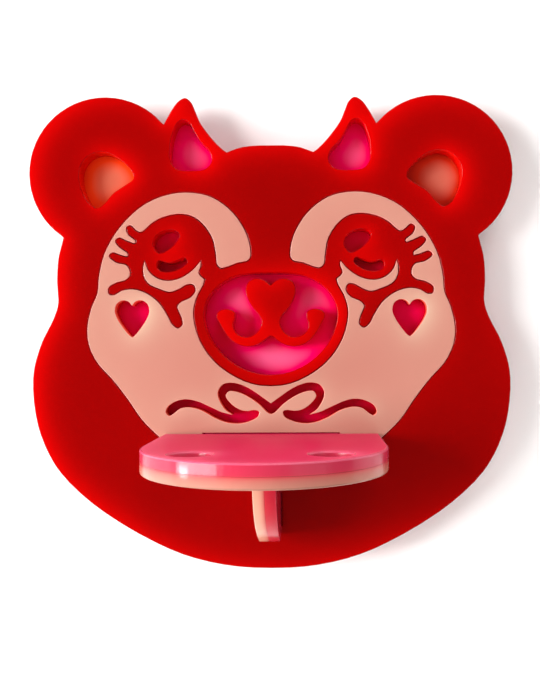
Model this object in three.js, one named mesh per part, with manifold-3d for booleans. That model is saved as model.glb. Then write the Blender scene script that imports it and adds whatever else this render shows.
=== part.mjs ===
// A wall shelf shaped as a bear's head, cut from sheet acrylic and glued up in layers.
//
// Millimetres. +X is to the right as seen from the front, the front faces -Y, +Z is up. The origin
// is on the wall plane, at the middle of the centre foam strip.
//
// From the wall outwards: three foam strips, the pink backing with a peach disc behind each ear,
// the red spacer plate, and the red front plate with the peach mask let into it. The nose stands on
// the backing inside the muzzle window. The shelf and the gusset under it are two sheets each, and
// their tenons pass through the two outer layers.

import * as THREE from "three";
import { mergeVertices } from "three/addons/utils/BufferGeometryUtils.js";
import Module from "manifold-3d";

const wasm = await Module();
wasm.setup();

// Overall size of the head.
const HEAD_WIDTH = 152.8;
const HEAD_HEIGHT = 149.2;

// Sheets, joints and fits.
const SHEET = 3.175;
const GLUE = 0.05;
const MASK_FIT = 0.3;
const SLOT_FIT = 0.3;
const BACKING_INSET = 3;
const EAR_DISC_RADIUS = 18;
const EAR_DISC_GAP = 1;

// Shelf: two sheets with a straight root, an elliptical front and a hole near each front corner.
const SHELF_LEVEL = -32.35;
const SHELF_WIDTH = 67.6;
const SHELF_STRAIGHT = 34;
const SHELF_NOSE = 38;
const SHELF_SHOULDER = 12.3;
const HOLE_DIAMETER = 11.4;
const HOLE_FROM_SIDE = 16;
const HOLE_FROM_FRONT = 18.2;

// Gusset under the shelf.
const GUSSET_REACH = 41;
const GUSSET_HEIGHT = 25;
const GUSSET_FOOT = 11.8;
const GUSSET_TENON = 10;
const GUSSET_TENON_RISE = 2.5;
// How the gusset's edge bows, as shares of its height and reach.
const GUSSET_BOW = { drop: 0.52, reach: 0.63, fall: 0.8 };

// Foam strips between the backing and the wall.
const STRIP_WIDTH = 19;
const STRIP_LENGTH = 70;
const STRIP_THICKNESS = 1.5;
const STRIP_SPREAD = 42;

// Curves are followed to within this distance.
const TOLERANCE = 0.05;
const STEPS_PER_SPAN = 12;
const MITRE_LIMIT = 3;
const HOLE_STEPS = 40;
const DISC_STEPS = 56;
const SHELF_STEPS = 28;
const GUSSET_STEPS = 20;
const EAR_SPANS = 12;
// Depth of the cutter that makes the slots, which starts just behind the spacer.
const SLOT_CUTTER_SHEETS = 4;

// The face is drawn at this size and stretched to the head's own width and height.
const DRAWN_WIDTH = 152.8;
const DRAWN_HEIGHT = 149.2;
const EAR = { x: 52.3, z: 50.2, radius: 24.1 };

// ---------------------------------------------------------------- the drawing, right half

// Top of the head, from the middle to the foot of the horn.
const CROWN = [[0, 58.7], [5, 58.7], [9.5, 58.1], [12.6, 57], [13.7, 56.6]];

// Horn, from its foot over the tip to the notch at the ear.
const HORN = [
  [13.7, 56.6], [15, 57.5], [17.6, 60.1], [20.2, 63.3], [22.4, 66.6], [23.8, 70], [24.8, 72.4],
  [26.7, 73.9], [28.9, 72.9], [31.3, 69.7], [32.9, 66.8], [33.6, 65.6],
];

// Side of the head, from the notch under the ear round the cheek to the chin.
const SIDE = [
  [65.6, 29.9], [67.2, 23.5], [67.7, 16], [67.4, 9], [68.8, 4.4], [72.6, -3.2], [75.2, -12],
  [75.4, -20.5], [73.3, -32], [68, -43], [59.5, -52.1], [46.5, -61.4], [29, -70.2], [14, -74],
  [0, -74.9],
];

// Top edge of the backing behind one horn, from the middle of the crown to the ear's disc.
const BACKING_HORN = [
  [0, 55.6], [7.5, 55.2], [13, 53.4], [16.4, 54.7], [19.8, 59.1], [22.6, 64.4], [24.6, 69],
  [26.8, 70.7], [29, 69.2], [32, 64], [34.3, 58.3],
];

// Outer edge of the mask, from the chin round the cheek and over the brow to its inner end.
const MASK_OUTER = [
  [0, -47.5], [12, -46], [23, -42], [30.5, -37.6], [35.6, -33.3], [41, -27.9], [45.3, -21.6],
  [50, -15.5], [55.3, -9.5], [57.8, -4], [58.2, 1.5], [56.9, 7.7], [55, 12.2], [54.4, 18],
  [52.6, 25], [47.7, 33.2], [40.3, 40.1], [33, 43.3], [26, 44.1], [18.6, 42.6], [11.8, 37.6],
  [7.4, 30.6], [6.2, 25.3], [6.4, 23.2],
];

// Inner edge of the mask, from the brow's end round the eye, with three lashes, the sweep under
// the eye and its two branches, to the outer tip of the pouch under the eye.
const MASK_INNER = [
  [6.4, 23.2], [7.4, 22.2], [10.4, 21.6], [13.6, 20.4], [15.6, 20], [16.9, 21.1], [17.3, 24],
  [18.3, 29.2], [21.2, 33.8], [24.6, 36.4], [28.4, 37.2], [33.4, 36.4], [37.2, 34.5],
  [39.8, 32.2], [41.2, 31.5], [42.6, 32.2], [44.4, 33.7], [45.6, 32.9], [45, 30.8],
  [42.7, 28.9], [42.8, 28], [45.4, 28.8], [47.9, 29.8], [49.1, 28.8], [48, 27],
  [45.2, 24.9], [45.2, 23.9], [47.4, 24.3], [50, 25.1], [51.1, 24], [49, 22.1],
  [45.7, 21.2], [44.6, 19.6], [44.6, 17.6], [46, 16.3], [48.9, 15.5], [51.3, 13.9],
  [51.2, 12], [49.8, 11.7], [47.2, 13.1], [44, 13.6], [39.8, 12.5], [35.4, 9.3],
  [32.5, 4.9], [31.2, 2.4], [29.4, 1.1], [28, 2.3], [28.3, 4.4], [29.6, 8], [28.3, 9.5],
  [25.3, 10.9], [23.8, 13], [24.5, 14.8], [26.5, 14.8], [29.2, 13.3], [31.8, 12.5],
  [34.7, 13.3], [38.7, 15.2], [40.2, 17.6], [40.4, 20.4], [39.9, 22.4],
];

// Upper edge of the pouch, which is the eye's lower lid, and the step down to the muzzle ring.
const LOWER_LID = [
  [39.9, 22.4], [38.5, 19.2], [35.9, 17], [32.6, 16.2], [28.6, 17], [24.8, 19.4], [22.1, 22.3],
];
const LID_STEP = [[22.1, 22.3], [22, 20.6], [22.7, 18.6], [22, 17.5], [20.8, 16.5]];

// Red ring round the muzzle, which bounds the mask inside.
const RING = [
  [20.8, 16.5], [21.3, 14.7], [23.2, 11.2], [24.4, 7], [24.1, 2.4], [22.2, -3.3], [18.2, -9.1],
  [12.7, -13.5], [6.5, -16.4], [0, -17.3],
];

const MUZZLE_TOP = [[21.2, 5.6], [20, 10.2], [16.6, 14.4], [11.6, 17.3], [6, 18.4], [0, 18.5]];
const MUZZLE_BOTTOM = [
  [21.2, 5.6], [20.6, 1.4], [18.6, -3.2], [15, -7.6], [10.5, -11], [5.4, -13.1], [0, -13.8],
];

// Nose and mouth in one piece, from the notch between the nostrils to the notch under the lip.
const NOSE = [
  [0, 14.5], [1.8, 16], [4.4, 16.7], [7, 15.6], [7.9, 13.2], [7.2, 10.2], [5.6, 7.4],
  [3.6, 5.1], [2.8, 3.2], [3.4, 0.8], [5.2, -1.1], [7.7, -1.9], [10.1, -1.2], [11.7, 0.5],
  [12, 2.4], [11.4, 4.4], [11.5, 6.1], [13.8, 7.1], [16.4, 6.4], [17.2, 5], [16.1, 2.6],
  [14.4, -0.4], [12.3, -2.9], [9.9, -4.3], [7.2, -4.8], [4.3, -4.2], [1.9, -2.7], [0.6, -1.6],
  [0, -1.4],
];

// Scroll cut under the muzzle: top of the V, loop, tail and back along the lower edge.
const SCROLL_LOOP = [
  [0, -22.8], [2.2, -21.2], [5.6, -18.8], [9, -17], [12.5, -16.2], [15.4, -16.9], [16.9, -19.5],
  [16.1, -22.4], [14.4, -24.9], [12.2, -26.4],
];
const SCROLL_TAIL = [
  [12.2, -26.4], [15.4, -25.6], [19, -24], [22.6, -22.3], [26.5, -21.4], [30, -22],
  [32.6, -23.6], [33.4, -25.6], [32.3, -26.7], [30.9, -26], [28.8, -24.4], [25.8, -24],
  [22, -25], [18, -27.3], [14.2, -28.8], [10.3, -29.2], [6.6, -28.4], [4.1, -26.9],
  [3.8, -25.4], [5, -24.9], [7.6, -25.2], [10, -24.7], [12.6, -22.9], [14.3, -20.4],
  [13.4, -19], [11, -19.1], [7.6, -20.5], [3.8, -23.1], [1.2, -25.7], [0, -26.2],
];

const EAR_WINDOW = [
  [54, 57.1], [57.8, 55.7], [60.2, 52.4], [60.6, 48.8], [59.7, 44.7], [57.4, 40.7],
  [54.8, 39.2], [52.6, 40.5], [49.6, 44], [45.6, 46.6], [43.2, 48.6], [44, 51.2], [47, 54.3],
  [50.4, 56.4],
];
const HORN_WINDOW = [
  [27.4, 67.1], [29.3, 66.1], [30.8, 62.9], [31.7, 59], [31.6, 54.2], [29.7, 51.5],
  [25, 50.8], [20.3, 51.5], [18.4, 54], [19.2, 57.2], [22, 60.2], [24, 63.4], [25.5, 66.2],
];
const CHEEK_HEART = { x: 43.9, notch: 8.3, lobe: 10, wide: 6.6, tip: -1.8, half: 5.5, peak: 3 };

// Two highlights in each eye. The upper one lies the same way round in both eyes, the lower one
// is mirrored.
const UPPER_HIGHLIGHT = [
  [-37.3, 27.6], [-36.2, 30.3], [-33.3, 32], [-30.2, 32.1], [-28.7, 30.6], [-30, 27.9],
  [-32.6, 25.7], [-35.3, 24.8],
];
const UPPER_HIGHLIGHT_STEP = 60.5;
const LOWER_HIGHLIGHT = [
  [36, 20.5], [35.4, 22.5], [32.2, 21.8], [29.2, 22.6], [27.2, 23.4], [26.3, 22],
  [28.3, 20.1], [31.8, 18.9], [34.8, 19.2],
];

// ---------------------------------------------------------------- outlines

const stretchX = HEAD_WIDTH / DRAWN_WIDTH;
const stretchZ = HEAD_HEIGHT / DRAWN_HEIGHT;

const mirrored = (points) => points.map(([x, z]) => [-x, z]).reverse();

// A half drawn up to the centre line, joined to its mirror image there. The half starts on the
// right and ends at x = 0.
const acrossFromRight = (half) => [...half, ...mirrored(half).slice(1)];

// Leaves out the points that a run of straight lines can do without, within the tolerance.
function thin(points) {
  const first = points[0];
  const last = points[points.length - 1];
  const line = new THREE.Line3(
    new THREE.Vector3(first.x, first.y, 0),
    new THREE.Vector3(last.x, last.y, 0),
  );
  const foot = new THREE.Vector3();
  const spot = new THREE.Vector3();
  let farthest = 0;
  let split = 0;
  for (let i = 1; i < points.length - 1; i += 1) {
    spot.set(points[i].x, points[i].y, 0);
    line.closestPointToPoint(spot, true, foot);
    const away = foot.distanceTo(spot);
    if (away > farthest) {
      farthest = away;
      split = i;
    }
  }
  if (farthest <= TOLERANCE) return [first, last];
  return [...thin(points.slice(0, split + 1)).slice(0, -1), ...thin(points.slice(split))];
}

// A smooth run through drawn points, in millimetres on the plate.
function run(points, closed = false) {
  const spots = points.map(([x, z]) => new THREE.Vector3(x * stretchX, z * stretchZ, 0));
  const curve = new THREE.CatmullRomCurve3(spots, closed, "centripetal");
  const fine = curve.getPoints(points.length * STEPS_PER_SPAN).map((p) => new THREE.Vector2(p.x, p.y));
  if (!closed) return thin(fine);
  const half = Math.floor(fine.length / 2);
  return [...thin(fine.slice(0, half + 1)), ...thin(fine.slice(half)).slice(1, -1)];
}

// A closed outline from runs that each start where the one before ends.
const outline = (...runs) => runs.flatMap((points) => points.slice(0, -1));

// Arc of the ear between two angles, anticlockwise, on the side given by its sign.
function earArc(side) {
  const { x, z, radius } = EAR;
  const hornNotch = HORN[HORN.length - 1];
  const sideNotch = SIDE[0];
  const from = Math.atan2(sideNotch[1] - z, sideNotch[0] - x);
  const to = Math.atan2(hornNotch[1] - z, hornNotch[0] - x);
  const arc = new THREE.EllipseCurve(x, z, radius, radius, from, to, false);
  const steps = EAR_SPANS * STEPS_PER_SPAN;
  const spots = arc.getPoints(steps).map((p) => new THREE.Vector2(side * p.x * stretchX, p.y * stretchZ));
  spots[0].set(side * sideNotch[0] * stretchX, sideNotch[1] * stretchZ);
  spots[steps].set(side * hornNotch[0] * stretchX, hornNotch[1] * stretchZ);
  return thin(side > 0 ? spots : spots.reverse());
}

// Moves every edge of an outline outwards by a distance, or inwards if it is negative. An open
// run keeps its two ends square.
function offset(points, distance, closed = true) {
  const turn = THREE.ShapeUtils.isClockWise(points) ? -1 : 1;
  const last = points.length - 1;
  const normal = (a, b) => new THREE.Vector2(b.y - a.y, a.x - b.x).normalize().multiplyScalar(turn);
  return points.map((point, i) => {
    const from = i === 0 && !closed ? 0 : i - 1;
    const to = i === last && !closed ? last : (i + 1) % points.length;
    const before = from === i ? normal(point, points[to]) : normal(points.at(from), point);
    const after = to === i ? before.clone() : normal(point, points[to]);
    const mitre = Math.min(1 / (1 + before.dot(after)), MITRE_LIMIT / 2);
    return point.clone().addScaledVector(before.add(after), distance * mitre);
  });
}

const crown = run(acrossFromRight([...CROWN].reverse()));
const chin = run(acrossFromRight(SIDE));
const rightHorn = run([...HORN].reverse());
const leftHorn = run(mirrored(HORN).reverse());
const headOutline = outline(crown, leftHorn, earArc(-1), [...chin].reverse(), earArc(1), rightHorn);

const backingTop = run(acrossFromRight([...BACKING_HORN].reverse()));
const backingChin = offset(chin, -BACKING_INSET, false).reverse();
const backingOutline = [...backingTop, ...backingChin];

// The mask's edge is one closed line: up the right side from the chin, in round the right eye,
// under the muzzle, and back out on the left.
const maskRight = [...MASK_OUTER, ...MASK_INNER.slice(1)];
const maskAcrossChin = run([...mirrored(maskRight), ...maskRight.slice(1)]);
const maskOutline = outline(
  maskAcrossChin, run(LOWER_LID), run(LID_STEP), run(acrossFromRight(RING)),
  run(mirrored(LID_STEP)), run(mirrored(LOWER_LID)),
);
const muzzleOutline = run(
  [...acrossFromRight(MUZZLE_TOP), ...acrossFromRight(MUZZLE_BOTTOM).slice(1, -1).reverse()], true,
);
const noseOutline = outline(run(NOSE), run(mirrored(NOSE)));
const scrollOutline = outline(
  run(SCROLL_LOOP), run([...SCROLL_TAIL, ...mirrored(SCROLL_TAIL).slice(1)]), run(mirrored(SCROLL_LOOP)),
);

function heartOutline(side) {
  const { x, notch, lobe, wide, tip, half, peak } = CHEEK_HEART;
  const right = [
    [0, notch], [peak * 0.35, lobe - 0.45], [peak, lobe], [half * 0.88, lobe - 1.1], [half, wide],
    [half * 0.85, wide - 2.5], [half * 0.5, wide - 5.5], [half * 0.15, tip + 0.6], [0, tip],
  ];
  const place = ([u, v]) => [side * x + u, v];
  return outline(run(right.map(place)), run(mirrored(right).map(place)));
}

const bothSides = (points) => [run(points, true), run(mirrored(points), true)];
const earWindows = bothSides(EAR_WINDOW);
const hornWindows = bothSides(HORN_WINDOW);
const highlights = [
  ...bothSides(LOWER_HIGHLIGHT),
  run(UPPER_HIGHLIGHT, true),
  run(UPPER_HIGHLIGHT.map(([x, z]) => [x + UPPER_HIGHLIGHT_STEP, z]), true),
];
const hearts = [heartOutline(-1), heartOutline(1)];

// ---------------------------------------------------------------- solids

// Back and front of each layer of sheet: 1 is the backing, 2 the spacer, 3 the front.
const layerBack = (layer) => -(STRIP_THICKNESS + GLUE + (layer - 1) * (SHEET + GLUE));
const layerFront = (layer) => layerBack(layer) - SHEET;
const faceY = layerFront(3);

const shelfTenonWidth = SHELF_WIDTH - 2 * SHELF_SHOULDER;
const shelfTopZ = SHELF_LEVEL * stretchZ;
const shelfJoinZ = shelfTopZ - SHEET;
const shelfUnderZ = shelfJoinZ - GLUE - SHEET;
const gussetTopZ = shelfUnderZ - GLUE;
const gussetFootZ = gussetTopZ - GUSSET_HEIGHT;
const gussetTenonZ = gussetFootZ + GUSSET_TENON_RISE;
const shoulderY = faceY - GLUE;
const tenonEndY = layerFront(1) - GLUE;

// A plate in the plane of the wall, one sheet thick, with its back at the given place.
function plate(edge, windows, backY) {
  const shape = new THREE.Shape(edge);
  shape.holes = windows.map((window) => new THREE.Path(window));
  const geometry = new THREE.ExtrudeGeometry(shape, { depth: SHEET, bevelEnabled: false });
  return geometry.rotateX(Math.PI / 2).translate(0, backY, 0);
}

function toManifold(geometry) {
  const bare = geometry.clone();
  bare.deleteAttribute("normal");
  bare.deleteAttribute("uv");
  const merged = mergeVertices(bare, 1e-4);
  return new wasm.Manifold(new wasm.Mesh({
    numProp: 3,
    vertProperties: new Float32Array(merged.attributes.position.array),
    triVerts: new Uint32Array(merged.index.array),
  }));
}

function toGeometry(manifold) {
  const mesh = manifold.getMesh();
  const geometry = new THREE.BufferGeometry();
  geometry.setAttribute("position", new THREE.BufferAttribute(mesh.vertProperties, mesh.numProp));
  geometry.setIndex(new THREE.BufferAttribute(mesh.triVerts, 1));
  return geometry;
}

function cut(geometry, ...cutters) {
  const solid = cutters.reduce((rest, cutter) => rest.subtract(toManifold(cutter)), toManifold(geometry));
  return toGeometry(solid);
}

// A box through the two outer layers that clears a tenon all round.
function slot(width, lowZ, highZ) {
  const height = highZ - lowZ + 2 * SLOT_FIT;
  const depth = SLOT_CUTTER_SHEETS * SHEET;
  const box = new THREE.BoxGeometry(width + 2 * SLOT_FIT, depth, height);
  return box.translate(0, tenonEndY + GLUE / 2 - depth / 2, (lowZ + highZ) / 2);
}

const shelfSlot = slot(shelfTenonWidth, shelfUnderZ, shelfTopZ);
const gussetSlot = slot(2 * SHEET + GLUE, gussetTenonZ, gussetTenonZ + GUSSET_TENON);

function frontPlate() {
  const windows = [
    offset(maskOutline, MASK_FIT / 2), muzzleOutline, ...earWindows, ...hornWindows, ...highlights,
  ];
  return cut(plate(headOutline, windows, layerBack(3)), gussetSlot);
}

function maskInlay() {
  const edge = offset(maskOutline, -MASK_FIT / 2);
  return cut(plate(edge, [scrollOutline, ...hearts], layerBack(3)), shelfSlot, gussetSlot);
}

function spacerPlate() {
  const windows = [
    muzzleOutline, scrollOutline, ...earWindows, ...hornWindows, ...highlights, ...hearts,
  ];
  return cut(plate(headOutline, windows, layerBack(2)), shelfSlot, gussetSlot);
}

function discBehindEar(side, radius = EAR_DISC_RADIUS, thickness = SHEET) {
  const disc = new THREE.CylinderGeometry(radius, radius, thickness, DISC_STEPS);
  return disc.translate(side * EAR.x * stretchX, layerBack(1) - SHEET / 2, EAR.z * stretchZ);
}

function backingPlate() {
  const recess = (side) => discBehindEar(side, EAR_DISC_RADIUS + EAR_DISC_GAP, 2 * SHEET);
  return cut(plate(backingOutline, [], layerBack(1)), recess(-1), recess(1));
}

// Plan of the shelf: a tenon, two shoulders against the face, straight sides and a rounded front.
function shelfSheet(topZ) {
  const half = SHELF_WIDTH / 2;
  const root = shelfTenonWidth / 2;
  const straightEndY = faceY - SHELF_STRAIGHT;
  const shape = new THREE.Shape();
  shape.moveTo(-half, shoulderY);
  shape.lineTo(-root, shoulderY);
  shape.lineTo(-root, tenonEndY);
  shape.lineTo(root, tenonEndY);
  shape.lineTo(root, shoulderY);
  shape.lineTo(half, shoulderY);
  shape.lineTo(half, straightEndY);
  shape.absellipse(0, straightEndY, half, SHELF_NOSE, 0, Math.PI, true);
  shape.holes = [-1, 1].map((side) => {
    const radius = HOLE_DIAMETER / 2;
    const holeX = side * (half - HOLE_FROM_SIDE);
    const holeY = faceY - SHELF_STRAIGHT - SHELF_NOSE + HOLE_FROM_FRONT;
    const rim = new THREE.EllipseCurve(holeX, holeY, radius, radius);
    return new THREE.Path(rim.getPoints(HOLE_STEPS).slice(0, -1));
  });
  const options = { depth: SHEET, bevelEnabled: false, curveSegments: SHELF_STEPS };
  return new THREE.ExtrudeGeometry(shape, options).translate(0, 0, topZ - SHEET);
}

// Side view of the gusset, bowed from the shelf's underside down to a short flat foot, with a
// tenon behind it.
function gussetSheet(leftX) {
  const frontY = faceY - GUSSET_REACH;
  const shape = new THREE.Shape();
  shape.moveTo(shoulderY, gussetTopZ);
  shape.lineTo(frontY, gussetTopZ);
  shape.bezierCurveTo(
    frontY, gussetTopZ - GUSSET_BOW.drop * GUSSET_HEIGHT,
    faceY - GUSSET_BOW.reach * GUSSET_REACH, gussetTopZ - GUSSET_BOW.fall * GUSSET_HEIGHT,
    faceY - GUSSET_FOOT, gussetFootZ,
  );
  shape.lineTo(shoulderY, gussetFootZ);
  shape.lineTo(shoulderY, gussetTenonZ);
  shape.lineTo(tenonEndY, gussetTenonZ);
  shape.lineTo(tenonEndY, gussetTenonZ + GUSSET_TENON);
  shape.lineTo(shoulderY, gussetTenonZ + GUSSET_TENON);
  const options = { depth: SHEET, bevelEnabled: false, curveSegments: GUSSET_STEPS };
  const geometry = new THREE.ExtrudeGeometry(shape, options);
  return geometry.rotateX(Math.PI / 2).rotateZ(Math.PI / 2).translate(leftX, 0, 0);
}

function foamStrip(x) {
  const box = new THREE.BoxGeometry(STRIP_WIDTH, STRIP_THICKNESS, STRIP_LENGTH);
  return box.translate(x, -STRIP_THICKNESS / 2, 0);
}

// ---------------------------------------------------------------- the assembly

const RED = { color: 0xb80000, roughness: 0.12, metalness: 0 };
const PEACH = { color: 0xeaa08f, roughness: 0.15, metalness: 0 };
const PINK = { color: 0xe8325f, roughness: 0.12, metalness: 0 };
const FOAM = { color: 0xe9e7e2, roughness: 0.9, metalness: 0 };

const assembly = new THREE.Group();

function add(name, geometry, finish) {
  const mesh = new THREE.Mesh(geometry, new THREE.MeshStandardMaterial(finish));
  mesh.name = name;
  assembly.add(mesh);
}

add("front_plate", frontPlate(), RED);
add("mask_inlay", maskInlay(), PEACH);
add("spacer_plate", spacerPlate(), RED);
add("nose_front", plate(noseOutline, [], layerBack(3)), RED);
add("nose_spacer", plate(noseOutline, [], layerBack(2)), RED);
add("backing_plate", backingPlate(), PINK);
add("ear_backing_left", discBehindEar(-1), PEACH);
add("ear_backing_right", discBehindEar(1), PEACH);
add("shelf_top", shelfSheet(shelfTopZ), PINK);
add("shelf_base", shelfSheet(shelfJoinZ - GLUE), PEACH);
add("gusset_left", gussetSheet(-GLUE / 2 - SHEET), PEACH);
add("gusset_right", gussetSheet(GLUE / 2), PINK);
add("foam_strip_left", foamStrip(-STRIP_SPREAD * stretchX), FOAM);
add("foam_strip_centre", foamStrip(0), FOAM);
add("foam_strip_right", foamStrip(STRIP_SPREAD * stretchX), FOAM);

export default assembly;
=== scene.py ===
"""A wall shelf shaped as a bear's head, glued up from layers of translucent acrylic sheet.

Each acrylic sheet is a copy of its CAD solid with softened rims, a fine grid on its flat sides and
an attribute that says how much light reaches each spot through the cut edges; that light is
painted into the base colour. Metres, +X to the right, the face looks along -Y, +Z up.
"""

from __future__ import annotations

import logging
import math
from dataclasses import dataclass
from enum import Enum

import bmesh
import bpy
import numpy as np
from mathutils import Matrix, Vector
from mathutils.bvhtree import BVHTree


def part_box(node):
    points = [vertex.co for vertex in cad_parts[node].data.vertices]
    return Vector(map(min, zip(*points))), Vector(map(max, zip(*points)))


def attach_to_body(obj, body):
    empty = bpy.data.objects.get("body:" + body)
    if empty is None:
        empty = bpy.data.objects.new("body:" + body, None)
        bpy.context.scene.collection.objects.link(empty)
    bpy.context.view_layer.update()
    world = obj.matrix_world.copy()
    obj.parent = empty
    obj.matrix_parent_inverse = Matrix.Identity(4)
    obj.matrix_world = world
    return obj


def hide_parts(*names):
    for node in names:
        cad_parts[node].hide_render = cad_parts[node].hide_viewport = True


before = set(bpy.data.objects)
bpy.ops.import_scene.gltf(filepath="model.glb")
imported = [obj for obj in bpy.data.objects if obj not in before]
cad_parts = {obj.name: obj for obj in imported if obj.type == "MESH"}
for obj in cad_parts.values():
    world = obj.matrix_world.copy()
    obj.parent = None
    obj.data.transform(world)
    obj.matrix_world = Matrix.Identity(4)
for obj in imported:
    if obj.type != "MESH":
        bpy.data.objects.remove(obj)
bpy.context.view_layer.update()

LOG = logging.getLogger("bear_shelf")
MM = 0.001
BODY = "root"
Triple = tuple[float, float, float]
Colour = Triple
Settings = dict[str, object]
Inputs = dict[str | int, object]


class Axis(Enum):
    """A direction in the model, such as that of a sheet's thickness."""

    X = 0
    Y = 1
    Z = 2


class Side(Enum):
    """One of a sheet's two flats, by which way along its thickness it looks."""

    LOW = -1
    HIGH = 1


class Surface(Enum):
    """Which side of a sheet a material dresses; the value is its slot on the mesh."""

    FACE = 0
    CUT = 1
    RIM = 2


def placed(shape: bmesh.types.BMesh, name: str) -> bpy.types.Object:
    """Turns a finished shape into an object at the origin.

    Args:
        shape: The shape, in its place. It is freed.
        name: The object's name.

    Returns:
        The object, in the scene.
    """
    mesh = bpy.data.meshes.new(name)
    shape.to_mesh(mesh)
    shape.free()
    piece = bpy.data.objects.new(name, mesh)
    bpy.context.scene.collection.objects.link(piece)
    return piece


# ------------------------------------------------------------------------------- shader maths

MIX_COLOURS = slice(6, 8)
MIX_RESULT = 2


class Value:
    """A shader socket, or a number, that takes part in Python expressions."""

    def __init__(self, tree: "Tree", source: bpy.types.NodeSocket | float) -> None:
        """Wraps a source.

        Args:
            tree: The material's node tree.
            source: An output socket or a plain number.
        """
        self.tree = tree
        self.source = source

    def _math(self, operation: str, *others: "Value | float", clamp: bool = False) -> "Value":
        """Adds one Math node.

        Args:
            operation: The Math node's operation.
            others: The operands that follow this one.
            clamp: Whether the result is held between 0 and 1.

        Returns:
            The node's result.
        """
        settings = {"operation": operation, "use_clamp": clamp}
        inputs = dict(enumerate([self, *others]))
        return self.tree.value("ShaderNodeMath", settings, inputs, "Value")

    def __add__(self, other: "Value | float") -> "Value":
        """Sum."""
        return self._math("ADD", other)

    __radd__ = __add__

    def __sub__(self, other: "Value | float") -> "Value":
        """Difference."""
        return self._math("SUBTRACT", other)

    def __rsub__(self, other: float) -> "Value":
        """Difference with this value on the right."""
        return Value(self.tree, other)._math("SUBTRACT", self)

    def __mul__(self, other: "Value | float") -> "Value":
        """Product."""
        return self._math("MULTIPLY", other)

    __rmul__ = __mul__

    def size(self) -> "Value":
        """This value without its sign."""
        return self._math("ABSOLUTE")

    def power_of_e(self) -> "Value":
        """e to the power of this value."""
        return self._math("EXPONENT")

    def below(self, limit: float) -> "Value":
        """1 where this value is less than a limit, else 0."""
        return self._math("LESS_THAN", limit)

    def clamped(self) -> "Value":
        """This value held between 0 and 1."""
        return self._math("ADD", 0.0, clamp=True)


class Tree:
    """One material and the nodes in it."""

    def __init__(self, name: str) -> None:
        """Makes an empty material.

        Args:
            name: The material's name.
        """
        self.material = bpy.data.materials.new(name)
        self.material.use_nodes = True
        self.nodes = self.material.node_tree.nodes
        self.links = self.material.node_tree.links
        self.nodes.clear()

    def node(
        self, kind: str, settings: Settings | None = None, inputs: Inputs | None = None
    ) -> bpy.types.Node:
        """Adds a node.

        Args:
            kind: The node's type.
            settings: Properties that are set before the sockets.
            inputs: What each input socket gets, by its name or number: a Value, a socket or a
                constant.

        Returns:
            The new node.
        """
        made = self.nodes.new(kind)
        for key, setting in (settings or {}).items():
            setattr(made, key, setting)
        for key, given in (inputs or {}).items():
            source = given.source if isinstance(given, Value) else given
            if isinstance(source, bpy.types.NodeSocket):
                self.links.new(source, made.inputs[key])
            else:
                made.inputs[key].default_value = source
        return made

    def value(
        self, kind: str, settings: Settings | None, inputs: Inputs | None, output: str
    ) -> Value:
        """Adds a node and wraps one of its outputs."""
        return Value(self, self.node(kind, settings, inputs).outputs[output])

    def attribute(self, name: str) -> Value:
        """The factor of a mesh attribute."""
        return self.value("ShaderNodeAttribute", {"attribute_name": name}, None, "Fac")

    def mix(self, factor: Value | float, low: Colour | Value, high: Colour | Value) -> Value:
        """Mixes two colours.

        Args:
            factor: 0 gives the first colour, 1 the second.
            low: The first colour.
            high: The second colour.

        Returns:
            The mixed colour.
        """
        settings = {"data_type": "RGBA", "clamp_factor": True}
        node = self.node("ShaderNodeMix", settings, {"Factor": factor})
        for socket, colour in zip(node.inputs[MIX_COLOURS], (low, high)):
            if isinstance(colour, Value):
                self.links.new(colour.source, socket)
            else:
                socket.default_value = (*colour, 1.0)
        return Value(self, node.outputs[MIX_RESULT])

    def along(self, axis: Axis) -> Value:
        """One of the object coordinates."""
        spot = self.node("ShaderNodeTexCoord").outputs["Object"]
        return self.value("ShaderNodeSeparateXYZ", None, {"Vector": spot}, axis.name)

    def place(self, scale: Triple = (1.0, 1.0, 1.0)) -> bpy.types.NodeSocket:
        """Object coordinates, stretched by a scale along each axis."""
        spot = self.node("ShaderNodeTexCoord").outputs["Object"]
        placing = {"Vector": spot, "Scale": scale}
        return self.node("ShaderNodeMapping", None, placing).outputs["Vector"]

    def noise(self, size: float, detail: float = 2.0, stretch: Triple = (1.0, 1.0, 1.0)) -> Value:
        """Smooth noise.

        Args:
            size: The width of its blobs in metres.
            detail: Octaves.
            stretch: How densely it varies along each axis.

        Returns:
            A value around a half.
        """
        inputs = {"Vector": self.place(stretch), "Scale": 1.0 / size, "Detail": detail}
        return self.value("ShaderNodeTexNoise", None, inputs, "Fac")

    def bump(self, height: Value, depth: float, strength: float = 1.0) -> Value:
        """A normal bent by a height pattern.

        Args:
            height: The pattern, 0 to 1.
            depth: How tall the pattern is in metres.
            strength: Share of the bend that is kept.

        Returns:
            The bent normal.
        """
        inputs = {"Height": height, "Distance": depth, "Strength": strength}
        return self.value("ShaderNodeBump", None, inputs, "Normal")

    def finish(self, shader: bpy.types.Node) -> bpy.types.Material:
        """Joins a shader to the material's output and returns the material."""
        self.node("ShaderNodeOutputMaterial", None, {"Surface": shader.outputs[0]})
        return self.material


# ------------------------------------------------------------------------------- finishes

ACRYLIC_IOR = 1.49
CLOUD, RIPPLE, GRAIN = 18.0 * MM, 6.0 * MM, 0.9 * MM
BAND, RIDGE, RIDGE_STRETCH = 3.0 * MM, 0.35 * MM, 0.04
WEAR, WEAR_GRAIN = 4.0 * MM, 0.5 * MM
PORE, MOTTLE = 0.5 * MM, 4.0 * MM


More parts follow.
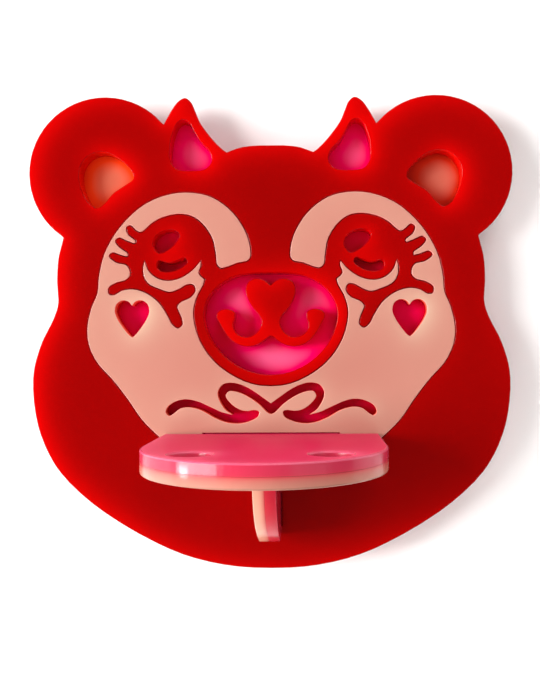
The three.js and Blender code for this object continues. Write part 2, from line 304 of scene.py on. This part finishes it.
@dataclass(frozen=True)
class JointGlow:
    """Painted light that a glued neighbour sheds across the joint onto a cut edge, in its colour.

    Attributes:
        colour: The neighbour's colour.
        axis: The direction across the glue joint.
        place: Where the joint is along it, in metres.
        reach: How far the colour goes, in metres.
    """

    colour: Colour
    axis: Axis
    place: float
    reach: float


@dataclass(frozen=True)
class AcrylicFinish:
    """Translucent cast acrylic of one colour.

    Attributes:
        name: What the sheet is called.
        deep: Colour where the least painted light falls, well away from a cut edge or under a lid.
        rim: Colour of the most painted light, beside a cut edge that faces the light or under a
            wide opening.
        cut: Colour of the cut edge in the open.
        closed_joint_shade: Painted shade: colour of the cut edge where a neighbour closes it off.
        line: Colour of the softened rim.
        slot: The record's material slot. It is not used.
        middle: Colour halfway between deep and rim, if it isn't their mean.
        gloss: How strongly its flats mirror what is round them.
        edge_gloss: The same for its cut edges.
        dull: Roughness of its flats.
        joint_glow: Painted light that a glued neighbour sheds onto its cut edge.
    """

    name: str
    deep: Colour
    rim: Colour
    cut: Colour
    closed_joint_shade: Colour
    line: Colour
    slot: str
    middle: Colour | None = None
    gloss: float = 0.12
    edge_gloss: float = 0.25
    dull: float = 0.10
    joint_glow: JointGlow | None = None

    @staticmethod
    def _shader(
        tree: Tree, colour: Value, roughness: Value, normal: Value, gloss: float
    ) -> bpy.types.Node:
        """Adds the sheet's shader.

        Args:
            tree: The material's node tree.
            colour: Base colour.
            roughness: Roughness.
            normal: Bent normal.
            gloss: Specular level.

        Returns:
            The shader node.
        """
        inputs = {
            "Base Color": colour,
            "Roughness": roughness,
            "Normal": normal,
            "IOR": ACRYLIC_IOR,
            "Specular IOR Level": gloss,
        }
        return tree.node("ShaderNodeBsdfPrincipled", None, inputs)

    def face(self) -> bpy.types.Material:
        """The polished flat of the sheet, with light pooling beside its cut edges.

        Returns:
            The material.
        """
        tree = Tree(f"{self.name}_face")
        cloud = tree.noise(CLOUD, 3.0)
        grain = tree.noise(GRAIN, 2.0)
        glow = tree.attribute("glow") + (cloud - 0.5) * 0.05
        # Painted light: the flat runs from its deep colour to its rim colour as the glow attribute
        # rises.
        if self.middle:
            lower = tree.mix((glow * 2.0).clamped(), self.deep, self.middle)
            colour = tree.mix((glow * 2.0 - 1.0).clamped(), lower, self.rim)
        else:
            colour = tree.mix(glow.clamped(), self.deep, self.rim)
        normal = tree.bump(tree.noise(RIPPLE, 1.0), 0.02 * MM, 0.5)
        roughness = self.dull + cloud * 0.05 + grain * 0.03
        return tree.finish(self._shader(tree, colour, roughness, normal, self.gloss))

    def edge(self, axis: Axis) -> bpy.types.Material:
        """The laser-cut edge, with fine ridges that run through the sheet's thickness.

        Args:
            axis: The direction of the thickness.

        Returns:
            The material.
        """
        tree = Tree(f"{self.name}_cut_{axis.name.lower()}")
        stretch = [1.0, 1.0, 1.0]
        stretch[axis.value] = RIDGE_STRETCH
        ridges = tree.noise(RIDGE, 2.0, tuple(stretch))
        bands = tree.noise(BAND, 2.0, tuple(stretch))
        # Painted shade: the cut edge takes its darker closed-joint colour where a neighbour closes
        # it off.
        colour = tree.mix(tree.attribute("closed_joint_shade") + (bands - 0.5) * 0.2, self.cut, self.closed_joint_shade)
        # Painted light: near the glue joint the cut edge takes the colour of light from the
        # neighbour sheet.
        if self.joint_glow:
            away = tree.along(self.joint_glow.axis) - self.joint_glow.place
            joint_glow_share = (away.size() * (-1.0 / self.joint_glow.reach)).power_of_e()
            colour = tree.mix(joint_glow_share, colour, self.joint_glow.colour)
        normal = tree.bump(ridges, 0.012 * MM, 0.6)
        roughness = 0.12 + ridges * 0.1
        return tree.finish(self._shader(tree, colour, roughness, normal, self.edge_gloss))

    def softened(self) -> bpy.types.Material:
        """The softened rim, which gathers light along its length.

        Returns:
            The material.
        """
        tree = Tree(f"{self.name}_rim")
        wear = tree.noise(WEAR, 2.0)
        # Partly painted light, partly random wear: the rim turns towards its lit colour where the
        # glow attribute and the wear noise are high.
        glow_and_wear = (wear * 0.2 + tree.attribute("glow") * 0.3).clamped()
        colour = tree.mix(glow_and_wear, self.line, self.rim)
        normal = tree.bump(tree.noise(WEAR_GRAIN, 1.0), 0.01 * MM, 0.4)
        return tree.finish(self._shader(tree, colour, 0.14 + wear * 0.08, normal, self.edge_gloss))


@dataclass(frozen=True)
class FoamFinish:
    """Closed-cell foam tape.

    Attributes:
        name: What the tape is called.
        colour: Colour of the foam.
        pore: Painted shade down in the pores.
        slot: The record's material slot. It is not used.
    """

    name: str
    colour: Colour
    pore: Colour
    slot: str

    def face(self) -> bpy.types.Material:
        """Fine open pores, with painted shade down in them, over soft mottling.

        Returns:
            The material.
        """
        tree = Tree(self.name)
        inputs = {"Vector": tree.place(), "Scale": 1.0 / PORE}
        cells = tree.value("ShaderNodeTexVoronoi", {"feature": "F1"}, inputs, "Distance")
        mottle = tree.noise(MOTTLE, 3.0)
        # Painted shade down in each pore, with random mottling.
        depth = (cells * 1.3 + mottle * 0.2 - 0.2).clamped()
        colour = tree.mix(depth, self.pore, self.colour)
        shader = {
            "Base Color": colour,
            "Roughness": 0.85 + mottle * 0.1,
            "Normal": tree.bump(cells, 0.12 * MM, 0.7),
        }
        return tree.finish(tree.node("ShaderNodeBsdfPrincipled", None, shader))


SHELF_JOINT = -35.55 * MM
RED = AcrylicFinish(
    name="red_acrylic", deep=(0.242, 0.0, 0.0), rim=(0.60, 0.0, 0.0), cut=(0.62, 0.0, 0.0),
    closed_joint_shade=(0.60, 0.01, 0.01), line=(0.16, 0.0, 0.0), slot="red_acrylic", edge_gloss=0.15,
)
# The mask's cut edges are painted a shaded orange-red.
PEACH = AcrylicFinish(
    name="peach_acrylic", deep=(0.505, 0.212, 0.161), rim=(0.62, 0.39, 0.28),
    cut=(0.80, 0.13, 0.07), closed_joint_shade=(0.75, 0.07, 0.06), line=(0.85, 0.29, 0.26),
    slot="peach_acrylic",
)
# The ear discs are one peach acrylic. These are a lit and a shaded copy of it, painted red by the
# light that reaches the discs through the red sheets.
LIT_LEFT_EAR_PEACH = AcrylicFinish(
    name="lit_left_ear_peach_acrylic", deep=(0.88, 0.015, 0.0), middle=(0.96, 0.075, 0.01),
    rim=(0.80, 0.21, 0.12), cut=(0.50, 0.20, 0.15), closed_joint_shade=(0.50, 0.20, 0.15),
    line=(0.50, 0.20, 0.15), slot="peach_acrylic",
)
SHADED_RIGHT_EAR_PEACH = AcrylicFinish(
    name="shaded_right_ear_peach_acrylic", deep=(0.38, 0.0, 0.0), middle=(0.66, 0.035, 0.01),
    rim=(0.66, 0.17, 0.11), cut=(0.50, 0.20, 0.15), closed_joint_shade=(0.50, 0.20, 0.15),
    line=(0.50, 0.20, 0.15), slot="peach_acrylic",
)
# Painted light and shade: the pink backing is red where the red sheets cover it and pink where the
# openings let light in.
BACKING_PINK = AcrylicFinish(
    name="backing_pink_acrylic", deep=(0.85, 0.0, 0.02), middle=(0.98, 0.0, 0.16),
    rim=(0.98, 0.17, 0.38), cut=(0.62, 0.05, 0.12), closed_joint_shade=(0.62, 0.05, 0.12),
    line=(0.62, 0.05, 0.12), slot="pink_acrylic",
)
SHELF_PINK = AcrylicFinish(
    name="shelf_pink_acrylic", deep=(0.65, 0.010, 0.080), rim=(0.80, 0.08, 0.18),
    cut=(0.54, 0.030, 0.070), closed_joint_shade=(0.54, 0.030, 0.070), line=(0.62, 0.09, 0.15),
    slot="pink_acrylic", gloss=0.04, dull=0.28, edge_gloss=0.28,
    joint_glow=JointGlow((0.56, 0.045, 0.065), Axis.Z, SHELF_JOINT, 0.4 * MM),
)
SHELF_PEACH = AcrylicFinish(
    name="shelf_peach_acrylic", deep=(0.445, 0.19, 0.149), rim=(0.50, 0.25, 0.18),
    cut=(0.50, 0.215, 0.155), closed_joint_shade=(0.42, 0.10, 0.08), line=(0.38, 0.13, 0.09),
    slot="peach_acrylic", edge_gloss=0.18,
    joint_glow=JointGlow((0.56, 0.04, 0.06), Axis.Z, SHELF_JOINT, 1.2 * MM),
)
GUSSET_PINK = AcrylicFinish(
    name="gusset_pink_acrylic", deep=(0.50, 0.01, 0.03), rim=(0.60, 0.04, 0.08),
    cut=(0.48, 0.013, 0.03), closed_joint_shade=(0.48, 0.013, 0.03), line=(0.48, 0.02, 0.04),
    slot="pink_acrylic", edge_gloss=0.08,
    joint_glow=JointGlow((0.50, 0.03, 0.04), Axis.X, 0.0, 0.6 * MM),
)
GUSSET_PEACH = AcrylicFinish(
    name="gusset_peach_acrylic", deep=(0.445, 0.19, 0.149), rim=(0.56, 0.40, 0.32),
    cut=(0.58, 0.28, 0.19), closed_joint_shade=(0.42, 0.10, 0.08), line=(0.58, 0.28, 0.20),
    slot="peach_acrylic", edge_gloss=0.10,
    joint_glow=JointGlow((0.50, 0.04, 0.05), Axis.X, 0.0, 0.7 * MM),
)
FOAM = FoamFinish("foam_tape", (0.62, 0.61, 0.58), (0.42, 0.41, 0.38), "foam_tape")


# ------------------------------------------------------------------------------- sheets

WELD = 0.002 * MM
FLATNESS = math.radians(0.3)
CORNER = math.radians(50.0)
FLAT_SLOPE, CUT_SLOPE = 0.99, 0.2  # share of a face's normal along the thickness
GRID_START, QUICK_CELLS = 0.37, 3.0
GLOW_REACH = 2.6 * MM  # how far light from a cut edge gets into the sheet
GLOW_PARTS = 8
SAMPLE_STEP = 1.0 * MM
KERF = 0.7 * MM  # a neighbour nearer than this closes off a cut edge
KERF_SHARE = 0.12  # light that such an edge lets in
OPEN_SHARE = 0.25  # light that an edge in the narrowest opening lets in
OPEN_WIDTH = 16.0 * MM  # an opening this wide lets in all of it
LIGHT_SIDE = Vector((-1.0, -0.35, 0.12)).normalized()
EDGE_TURN = 0.48  # how much an edge's light depends on which way it faces
SKY_TURN = 0.4  # the same for the sky
SKY_RINGS = ((12.0, 5), (28.0, 9), (44.0, 13), (58.0, 15))  # tilt in degrees, rays
SKY_KNEE, SKY_GAIN = 0.4, 1.5  # above this share the level rises faster
EVENING = 8  # rounds of averaging
BACK_LEVEL = 0.8  # painted light level on the back of a backing sheet


def _sky_rays() -> list[tuple[Vector, float]]:
    """Directions out of the face and how bright the room is along each.

    Returns:
        Each direction with its brightness.
    """
    rays = []
    for tilt, turns in SKY_RINGS:
        lean, out = math.sin(math.radians(tilt)), math.cos(math.radians(tilt))
        for k in range(turns):
            around = math.radians(360.0 * (k + 0.5) / turns)
            ray = Vector((lean * math.cos(around), -out, lean * math.sin(around)))
            rays.append((ray, 1.0 - SKY_TURN + SKY_TURN * ray.dot(LIGHT_SIDE)))
    return rays


SKY = _sky_rays()


def _light_at(places: np.ndarray, spots: np.ndarray, light: np.ndarray) -> np.ndarray:
    """Light that reaches each place from the cut edges.

    Args:
        places: Where the light is wanted.
        spots: Where it enters.
        light: How much enters at each spot.

    Returns:
        The light at each place.
    """
    square = (places**2).sum(1)[:, None] + (spots**2).sum(1)[None, :] - 2.0 * places @ spots.T
    away = np.sqrt(np.maximum(square, 0.0))
    return np.exp(-away / GLOW_REACH) @ light / (2.0 * GLOW_REACH)


@dataclass
class Sheet:
    """One acrylic sheet of the shelf.

    Attributes:
        node: The CAD node it stands for.
        finish: Its colour.
        axis: The direction of its thickness.
        rim: How far its rims are softened, in metres.
        rim_steps: Strips round each softened rim.
        cell: Grid on its flat sides, in metres.
        mates: Nodes that fill its openings, so that no light enters there.
        inlet: Share of the light at its edges that gets in.
        lids: Nodes that lie over it, if its glow is the open sky above each spot instead.
        glued: Sides of the thickness that are glued to a neighbour and keep their rims sharp.
    """

    node: str
    finish: AcrylicFinish
    axis: Axis = Axis.Y
    rim: float = 0.12 * MM
    rim_steps: int = 2
    cell: float = 1.0 * MM
    mates: tuple[str, ...] = ()
    inlet: float = 1.0
    lids: tuple[str, ...] = ()
    glued: tuple[Side, ...] = ()

    def build(self) -> bpy.types.Object:
        """Makes the sheet's mesh and materials.

        Returns:
            The finished piece.
        """
        shape = self._solid()
        samples = self._edge_samples(shape)
        self._soften(shape)
        self._lay_grid(shape)
        self._dress(shape, samples)
        piece = placed(shape, f"{self.node}_sheet")
        for material in (self.finish.face(), self.finish.edge(self.axis), self.finish.softened()):
            piece.data.materials.append(material)
        return piece

    def _solid(self) -> bmesh.types.BMesh:
        """A merged copy of the CAD solid, with whole flats.

        Returns:
            The solid.
        """
        shape = bmesh.new()
        shape.from_mesh(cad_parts[self.node].data)
        bmesh.ops.remove_doubles(shape, verts=shape.verts, dist=WELD)
        bmesh.ops.dissolve_limit(
            shape, angle_limit=FLATNESS, use_dissolve_boundaries=False,
            verts=shape.verts, edges=shape.edges, delimit={"NORMAL"},
        )
        bmesh.ops.recalc_face_normals(shape, faces=shape.faces)
        shape.normal_update()
        return shape

    def _slope(self, face: bmesh.types.BMFace) -> float:
        """How far a face looks along the thickness: 1 on a flat, 0 on a cut edge."""
        return abs(face.normal[self.axis.value])

    def _is_flat(self, face: bmesh.types.BMFace) -> bool:
        """Whether a face is one of the sheet's two flats."""
        return self._slope(face) > FLAT_SLOPE

    def _is_glued(self, face: bmesh.types.BMFace) -> bool:
        """Whether a face is a flat that is glued to a neighbour."""
        return self._is_flat(face) and Side(round(face.normal[self.axis.value])) in self.glued

    def _across(self) -> list[int]:
        """Numbers of the two axes along the sheet's flats."""
        return [i for i in range(3) if i != self.axis.value]

    def _edge_samples(self, shape: bmesh.types.BMesh) -> tuple[np.ndarray, np.ndarray]:
        """Spots along the cut edges and the light that enters at each.

        Args:
            shape: The solid, before its rims are softened.

        Returns:
            The spots, flattened along the thickness, and the light of each.
        """
        mates = self._tree_of(*self.mates)
        itself = BVHTree.FromBMesh(shape)
        first, second = self._across()
        spots: list[tuple[float, float]] = []
        light: list[float] = []
        for face in shape.faces:
            if self._slope(face) > CUT_SLOPE:
                continue
            middle = face.calc_center_median()
            closed = bool(self.mates) and mates.find_nearest(middle, KERF)[0] is not None
            width = itself.ray_cast(middle + face.normal * WELD, face.normal)[3] or OPEN_WIDTH
            share = KERF_SHARE if closed else min(1.0, OPEN_SHARE + width / OPEN_WIDTH)
            facing = 1.0 - EDGE_TURN + EDGE_TURN * face.normal.dot(LIGHT_SIDE)
            flat = [Vector((v.co[first], v.co[second])) for v in face.verts]
            ends = ((a, b) for a in flat for b in flat)
            start, end = max(ends, key=lambda pair: (pair[0] - pair[1]).length)
            length = (end - start).length
            steps = max(1, round(length / SAMPLE_STEP))
            for step in range(steps):
                spot = start.lerp(end, (step + 0.5) / steps)
                spots.append((spot.x, spot.y))
                light.append(self.inlet * share * facing * length / steps)
        return np.array(spots, np.float32), np.array(light, np.float32)

    @staticmethod
    def _tree_of(*names: str) -> BVHTree:
        """A search tree over some CAD nodes.

        Args:
            names: The nodes.

        Returns:
            The tree.
        """
        joined = bmesh.new()
        for name in names:
            joined.from_mesh(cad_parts[name].data)
        tree = BVHTree.FromBMesh(joined)
        joined.free()
        return tree

    def _soften(self, shape: bmesh.types.BMesh) -> None:
        """Rounds the rims between the flats and the cut edges.

        Args:
            shape: The solid.
        """
        rims = [
            edge for edge in shape.edges
            if len(edge.link_faces) == 2
            and self._is_flat(edge.link_faces[0]) != self._is_flat(edge.link_faces[1])
            and not any(self._is_glued(face) for face in edge.link_faces)
        ]
        bmesh.ops.bevel(
            shape, geom=rims, offset=self.rim, offset_type="OFFSET", segments=self.rim_steps,
            profile=0.5, affect="EDGES", material=-1, clamp_overlap=False, loop_slide=True,
        )
        shape.normal_update()

    def _lay_grid(self, shape: bmesh.types.BMesh) -> None:
        """Cuts the sheet along a square grid, so that its flats can hold an attribute.

        Args:
            shape: The solid.
        """
        cell = self.cell * 1.0
        for i in self._across():
            places = [v.co[i] for v in shape.verts]
            normal = Vector((0.0, 0.0, 0.0))
            normal[i] = 1.0
            first = math.ceil(min(places) / cell)
            last = math.floor(max(places) / cell)
            for k in range(first, last + 1):
                bmesh.ops.bisect_plane(
                    shape, geom=[*shape.verts, *shape.edges, *shape.faces], dist=WELD,
                    plane_co=normal * (k + GRID_START) * cell, plane_no=normal,
                )

    def _dress(self, shape: bmesh.types.BMesh, samples: tuple[np.ndarray, np.ndarray]) -> None:
        """Writes the glow attribute, the material slots and the shading of every face.

        Args:
            shape: The finished solid.
            samples: What _edge_samples found.
        """
        glow = shape.verts.layers.float.new("glow")
        closed_joint_shade = shape.verts.layers.float.new("closed_joint_shade")
        levels = self._sky_levels(shape) if self.lids else self._edge_levels(shape, *samples)
        mates = self._tree_of(*self.mates)
        for vert, level in zip(shape.verts, levels):
            vert[glow] = float(level)
            # Painted shade: cut-edge vertices beside a neighbour are marked for the closed-joint
            # colour.
            if self.mates and not all(self._is_flat(face) for face in vert.link_faces):
                vert[closed_joint_shade] = float(mates.find_nearest(vert.co, KERF)[0] is not None)
        for face in shape.faces:
            rounded = Surface.RIM if self._slope(face) > CUT_SLOPE else Surface.CUT
            kind = Surface.FACE if self._is_flat(face) else rounded
            face.material_index = kind.value
            face.smooth = kind is not Surface.FACE
        for edge in shape.edges:
            edge.smooth = edge.calc_face_angle(0.0) < CORNER

    def _edge_levels(
        self, shape: bmesh.types.BMesh, spots: np.ndarray, light: np.ndarray
    ) -> np.ndarray:
        """Light from the cut edges at each vertex.

        Args:
            shape: The finished solid.
            spots: Where the light enters.
            light: How much enters at each spot.

        Returns:
            One level for each vertex.
        """
        first, second = self._across()
        places = np.array([(v.co[first], v.co[second]) for v in shape.verts], np.float32)
        columns, column_of = np.unique(places.round(6), axis=0, return_inverse=True)
        parts = [_light_at(part, spots, light) for part in np.array_split(columns, GLOW_PARTS)]
        return np.concatenate(parts)[column_of.ravel()]

    def _sky_levels(self, shape: bmesh.types.BMesh) -> np.ndarray:
        """Open sky at each vertex, and one even level on the back.

        Args:
            shape: The finished solid.

        Returns:
            One level for each vertex.
        """
        cover = self._tree_of(*self.lids)
        back = max(vert.co.y for vert in shape.verts) - self.rim - WELD
        levels = [
            BACK_LEVEL if vert.co.y > back else self._open_sky(vert.co, cover)
            for vert in shape.verts
        ]
        return self._evened(shape, levels)

    @staticmethod
    def _evened(shape: bmesh.types.BMesh, levels: list[float]) -> np.ndarray:
        """Levels averaged over their neighbours.

        Args:
            shape: The solid.
            levels: One level for each of its vertices.

        Returns:
            The averaged levels.
        """
        shape.verts.index_update()
        pairs = np.array([(edge.verts[0].index, edge.verts[1].index) for edge in shape.edges])
        ends, others = np.concatenate([pairs, pairs[:, ::-1]]).T
        count = np.maximum(np.bincount(ends, minlength=len(levels)), 1)
        even = np.array(levels)
        for _ in range(EVENING):
            even = 0.5 * even + 0.5 * np.bincount(ends, even[others], len(levels)) / count
        return even

    @staticmethod
    def _open_sky(spot: Vector, cover: BVHTree) -> float:
        """How much of the room's light a spot sees, weighted towards the bright side.

        Args:
            spot: The spot, on the sheet's front flat.
            cover: What lies over the sheet.

        Returns:
            The level: 0 under a lid, and higher the wider the opening over the spot.
        """
        start = spot + Vector((0.0, -WELD, 0.0))
        if cover.ray_cast(start, Vector((0.0, -1.0, 0.0)))[0] is not None:
            return 0.0
        seen, total = 0.0, 0.0
        for ray, weight in SKY:
            total += weight
            if cover.ray_cast(start, ray)[0] is None:
                seen += weight
        share = seen / total
        return share + SKY_GAIN * max(0.0, share - SKY_KNEE)


@dataclass
class FoamStrip:
    """A strip of foam tape between the backing and the wall.

    Attributes:
        node: The CAD node it stands for.
        rim: How far its rims are softened, in metres.
    """

    node: str
    rim: float = 0.25 * MM

    def build(self) -> bpy.types.Object:
        """Makes the strip.

        Returns:
            The finished piece.
        """
        low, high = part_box(self.node)
        shape = bmesh.new()
        bmesh.ops.create_cube(shape, size=1.0)
        bmesh.ops.scale(shape, vec=high - low, verts=shape.verts)
        bmesh.ops.translate(shape, vec=(low + high) / 2, verts=shape.verts)
        bmesh.ops.bevel(
            shape, geom=list(shape.edges), offset=self.rim, offset_type="OFFSET", segments=3,
            profile=0.5, affect="EDGES", material=-1, clamp_overlap=True, loop_slide=True,
        )
        for face in shape.faces:
            face.smooth = face.calc_area() < MM * MM
        piece = placed(shape, f"{self.node}_tape")
        piece.data.materials.append(FOAM.face())
        return piece


# ------------------------------------------------------------------------------- sub-assemblies


@dataclass
class Head:
    """The bear's head: front, mask, spacer, nose and backing.

    Attributes:
        rim: How far the rims are softened.
        cell: Grid on the flats.
        nose_inlet: Share of the light at the nose's edges that gets in.
    """

    rim: float = 0.12 * MM
    cell: float = 1.0 * MM
    nose_inlet: float = 0.9

    def sheets(self) -> list[Sheet]:
        """The sheets of the head.

        Returns:
            The sheets, from front to back.
        """
        lids = ("front_plate", "mask_inlay", "spacer_plate", "nose_front", "nose_spacer")
        ledge = ("shelf_top", "shelf_base", "gusset_left", "gusset_right")
        rim, cell = self.rim, self.cell
        fronts = {"rim": rim, "glued": (Side.HIGH,)}
        middles = {"rim": rim, "glued": (Side.LOW, Side.HIGH)}
        backs = {"rim": rim, "cell": cell, "lids": lids, "glued": (Side.LOW,)}
        return [
            Sheet("front_plate", RED, cell=cell, mates=("mask_inlay", *ledge), **fronts),
            Sheet("mask_inlay", PEACH, cell=cell, mates=("front_plate", *ledge), **fronts),
            Sheet("spacer_plate", RED, cell=1.5 * cell, mates=ledge, **middles),
            Sheet("nose_front", RED, cell=0.6 * cell, inlet=self.nose_inlet, **fronts),
            Sheet("nose_spacer", RED, cell=cell, **middles),
            Sheet("backing_plate", BACKING_PINK, **backs),
            Sheet("ear_backing_left", LIT_LEFT_EAR_PEACH, **backs),
            Sheet("ear_backing_right", SHADED_RIGHT_EAR_PEACH, **backs),
        ]


@dataclass
class Ledge:
    """The shelf of two sheets and the gusset that holds it up.

    Attributes:
        shelf_rim: How far the shelf's rims are softened.
        gusset_rim: The same for the gusset.
        cell: Grid on the flats.
    """

    shelf_rim: float = 0.5 * MM
    gusset_rim: float = 0.25 * MM
    cell: float = 1.0 * MM

    def sheets(self) -> list[Sheet]:
        """The sheets of the shelf and its gusset.

        Returns:
            The sheets.
        """
        shelf, gusset, cell = self.shelf_rim, self.gusset_rim, self.cell
        return [
            Sheet("shelf_top", SHELF_PINK, Axis.Z, shelf, 3, cell, glued=(Side.LOW,)),
            Sheet("shelf_base", SHELF_PEACH, Axis.Z, shelf, 3, cell, glued=(Side.HIGH,)),
            Sheet("gusset_left", GUSSET_PEACH, Axis.X, gusset, 2, cell, glued=(Side.HIGH,)),
            Sheet("gusset_right", GUSSET_PINK, Axis.X, gusset, 2, cell, glued=(Side.LOW,)),
        ]


@dataclass
class Tape:
    """The foam strips that hold the shelf to the wall.

    Attributes:
        nodes: The strips' CAD nodes.
    """

    nodes: tuple[str, ...] = ("foam_strip_left", "foam_strip_centre", "foam_strip_right")

    def strips(self) -> list[FoamStrip]:
        """One strip for each CAD node."""
        return [FoamStrip(node) for node in self.nodes]


# ------------------------------------------------------------------------------- stage


@dataclass(frozen=True)
class Lamp:
    """A soft rectangular light that looks at the object.

    Attributes:
        name: The light's name.
        place: Where it stands.
        width: Its width.
        height: Its height.
        power: Its power in watts.
    """

    name: str
    place: Triple
    width: float
    height: float
    power: float

    def build(self) -> None:
        """Makes the light."""
        light = bpy.data.lights.new(self.name, "AREA")
        light.shape = "RECTANGLE"
        light.size, light.size_y = self.width, self.height
        light.energy = self.power
        lamp = bpy.data.objects.new(self.name, light)
        lamp.location = self.place
        lamp.rotation_euler = (-Vector(self.place)).to_track_quat("-Z", "Y").to_euler()
        bpy.context.scene.collection.objects.link(lamp)


@dataclass(frozen=True)
class Camera:
    """The camera, just in front of the face and a little to its right.

    Attributes:
        place: Where it stands.
        turn: Yaw, pitch and roll in degrees.
        focal: Focal length in millimetres, for a sensor of the width below.
        sensor: Width of the sensor in millimetres.
        shift: Shift across and up, as shares of the picture's longer side.
    """

    place: Triple = (0.01305, -0.27395, -0.0074)
    turn: Triple = (-0.656, -0.116, -0.242)
    focal: float = 44.37
    sensor: float = 36.0
    shift: tuple[float, float] = (-0.0483, 0.0277)

    def build(self) -> None:
        """Makes the camera and gives it to the scene."""
        lens = bpy.data.cameras.new("camera")
        lens.lens, lens.sensor_width = self.focal, self.sensor
        lens.shift_x, lens.shift_y = self.shift
        lens.clip_start, lens.clip_end = 0.01, 10.0
        camera = bpy.data.objects.new("camera", lens)
        camera.location = self.place
        yaw, pitch, roll = (math.radians(angle) for angle in self.turn)
        level = math.cos(pitch)
        forward = Vector((math.sin(yaw) * level, math.cos(yaw) * level, math.sin(pitch)))
        aim = forward.to_track_quat("-Z", "Y").to_matrix().to_4x4()
        camera.rotation_euler = (aim @ Matrix.Rotation(roll, 4, "Z")).to_euler()
        bpy.context.scene.collection.objects.link(camera)
        bpy.context.scene.camera = camera
        bpy.context.scene.view_settings.view_transform = "Standard"


@dataclass
class Stage:
    """Wall, floor, lights and camera.

    Attributes:
        size: Width and height of the wall and the floor.
        wall_gap: How far the wall lies behind the tape.
        opening: Radius of the clear round in the wall behind the head, so that light reaches its
            back. Each ear disc has one of its own size.
        opening_drop: How far that round's middle lies under the origin.
        floor_drop: How far the floor lies under the origin.
        paint: Colour of the wall and the floor.
        surround: Colour of the dim light from all round.
        surround_level: Its strength.
        lamps: The area lights.
        camera: The camera.
    """

    size: float = 3.0
    wall_gap: float = 0.5 * MM
    opening: float = 60.0 * MM
    opening_drop: float = 5.0 * MM
    floor_drop: float = 0.60
    paint: Colour = (0.96, 0.95, 0.94)
    surround: Colour = (1.0, 0.98, 0.97)
    surround_level: float = 0.16
    lamps: tuple[Lamp, ...] = (
        Lamp("window", (-2.20, -1.20, 0.16), 1.90, 1.20, 108.0),
        Lamp("curtain", (-2.20, -0.55, -0.28), 0.26, 0.45, 14.0),
        Lamp("ceiling", (0.45, -0.55, 1.10), 1.2, 0.8, 10.5),
        Lamp("fill", (0.95, -0.9, 0.15), 0.9, 0.9, 2.4),
        Lamp("back", (0.25, 0.9, 0.35), 0.9, 0.9, 11.0),
    )
    camera: Camera = Camera()

    def build(self) -> None:
        """Makes everything round the object."""
        openings = [(Vector((0.0, 0.0, -self.opening_drop)), self.opening)]
        for node in ("ear_backing_left", "ear_backing_right"):
            low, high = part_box(node)
            openings.append(((low + high) / 2, (high.x - low.x) / 2))
        upright = Matrix.Rotation(math.radians(90.0), 4, "X")
        wall = Matrix.Translation((0.0, self.wall_gap, 0.0)) @ upright
        self._backdrop("wall", wall, openings)
        self._backdrop("floor", Matrix.Translation((0.0, 0.0, -self.floor_drop)), [])
        for lamp in self.lamps:
            lamp.build()
        self._world()
        self.camera.build()

    def _backdrop(self, name: str, spot: Matrix, openings: list[tuple[Vector, float]]) -> None:
        """A plain pale plane that is seen from its front side only.

        Args:
            name: What it is.
            spot: Where it stands and how it is turned.
            openings: Middle and radius of each clear round in it.
        """
        shape = bmesh.new()
        bmesh.ops.create_grid(shape, x_segments=2, y_segments=2, size=self.size / 2)
        bmesh.ops.transform(shape, matrix=spot, verts=shape.verts)
        plane = placed(shape, name)
        tree = Tree(f"{name}_paint")
        skin = tree.bump(tree.noise(2.0 * MM, 3.0), 0.05 * MM, 0.3)
        inputs = {"Base Color": (*self.paint, 1.0), "Roughness": 0.8, "Normal": skin}
        paint = tree.node("ShaderNodeBsdfPrincipled", None, inputs)
        clear = tree.node("ShaderNodeBsdfTransparent")
        hidden = tree.value("ShaderNodeNewGeometry", None, None, "Backfacing")
        for middle, radius in openings:
            aside, up = tree.along(Axis.X) - middle.x, tree.along(Axis.Z) - middle.z
            hidden = hidden + (aside * aside + up * up).below(radius * radius)
        either = {0: hidden.clamped(), 1: paint.outputs[0], 2: clear.outputs[0]}
        plane.data.materials.append(tree.finish(tree.node("ShaderNodeMixShader", None, either)))

    def _world(self) -> None:
        """A dim even surround."""
        world = bpy.data.worlds.new("surround")
        world.use_nodes = True
        background = world.node_tree.nodes["Background"].inputs
        background["Color"].default_value = (*self.surround, 1.0)
        background["Strength"].default_value = self.surround_level
        bpy.context.scene.world = world


# ------------------------------------------------------------------------------- assembly


def attach(piece: bpy.types.Object, node: str) -> None:
    """Joins a piece to the frame in place of its CAD node.

    Args:
        piece: The finished piece.
        node: The CAD node it stands for.
    """
    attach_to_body(piece, BODY)
    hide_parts(node)
    LOG.info("%s: %d faces", piece.name, len(piece.data.polygons))


def main() -> None:
    logging.basicConfig(level=logging.INFO)
    Stage().build()
    for sheet in [*Head().sheets(), *Ledge().sheets()]:
        attach(sheet.build(), sheet.node)
    for strip in Tape().strips():
        attach(strip.build(), strip.node)


if __name__ == "__main__":
    main()
